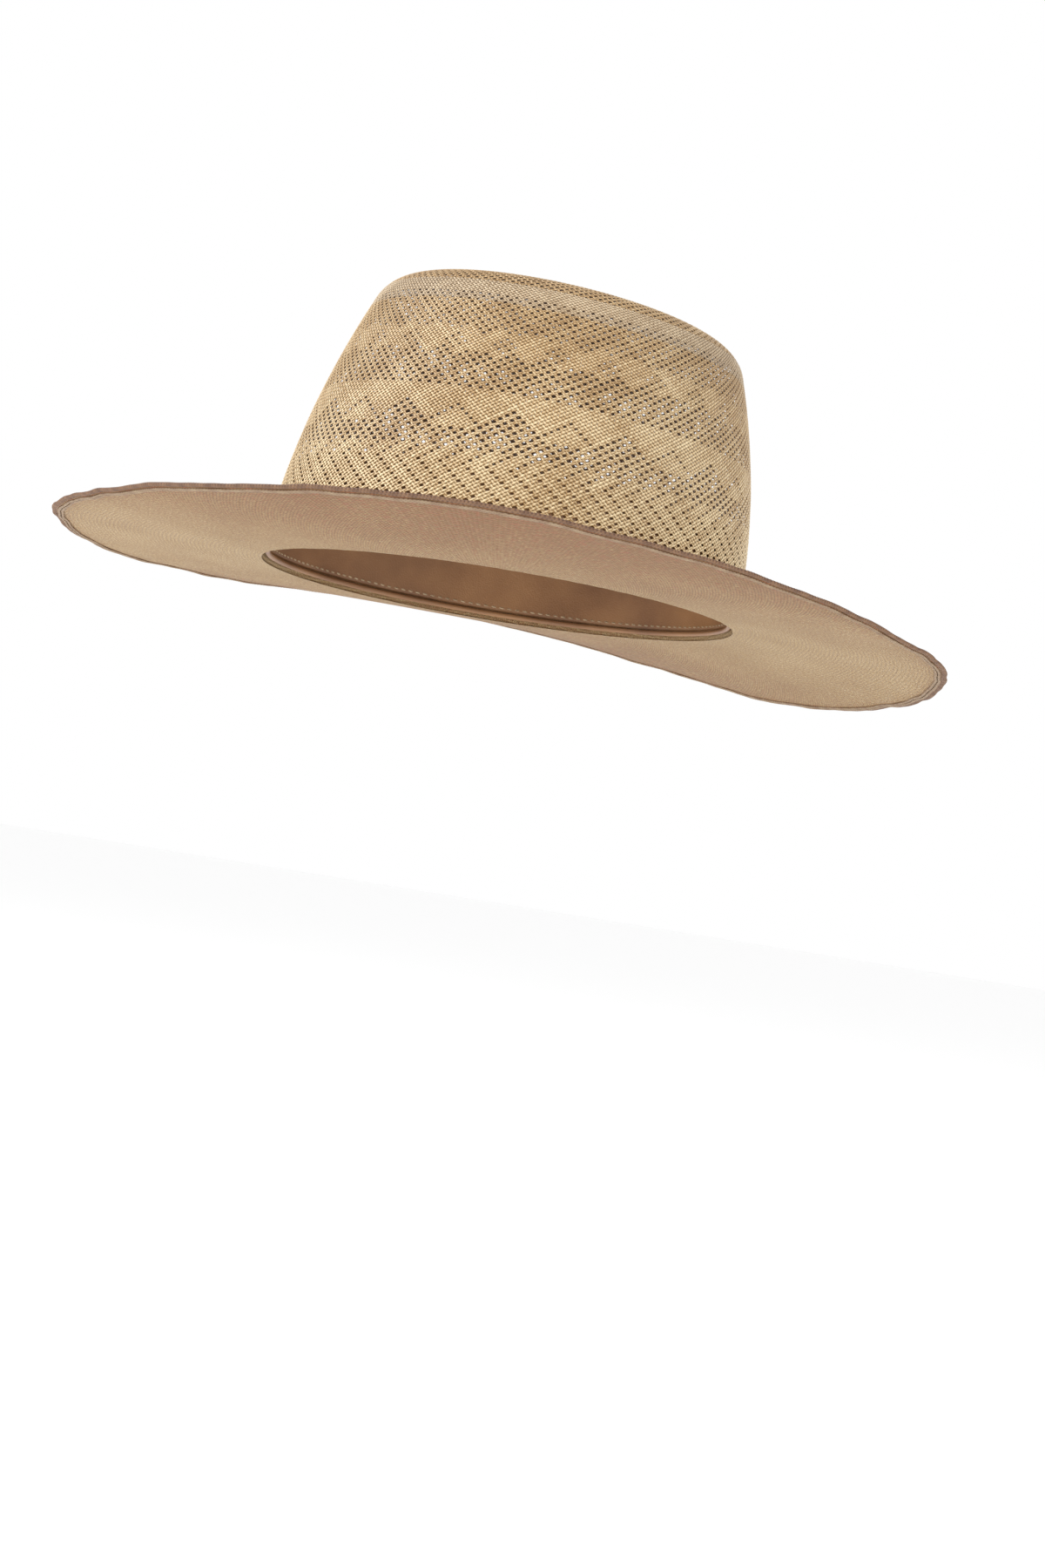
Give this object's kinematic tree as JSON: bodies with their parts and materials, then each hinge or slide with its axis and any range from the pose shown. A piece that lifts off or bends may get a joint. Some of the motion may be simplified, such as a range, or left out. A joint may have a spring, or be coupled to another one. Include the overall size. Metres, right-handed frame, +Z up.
{
  "type": "panama hat",
  "caption": "Wide-brimmed straw hat with a round openwork crown, a curled brim with a corded edge, and a leather sweatband inside.",
  "frame": {"origin": "centre of the head opening, in the plane where the crown meets the brim", "axes": "+Z up through the crown, -Y towards the front of the hat, +X to the wearer's left"},
  "size_m": [0.3306, 0.382, 0.1457],
  "materials": {
    "straw_openwork": "matte",
    "straw_dense": "matte",
    "straw_brim": "matte",
    "straw_edge": "matte",
    "edge_cord": "matte",
    "leather": "satin",
    "ribbon": "satin",
    "thread": "matte"
  },
  "bodies": {
    "root": {"crown_tip": "straw_openwork", "crown_shoulder": "straw_dense", "crown_side": "straw_openwork", "brim": "straw_brim", "brim_edge_roll": "straw_edge", "brim_edge_cord_1": "edge_cord", "brim_edge_cord_2": "edge_cord", "sweatband": "leather", "sweatband_reed": "leather", "sweatband_stitching": "thread", "sweatband_seam_tape": "ribbon", "sweatband_bow": "ribbon"}
  },
  "joints": []
}
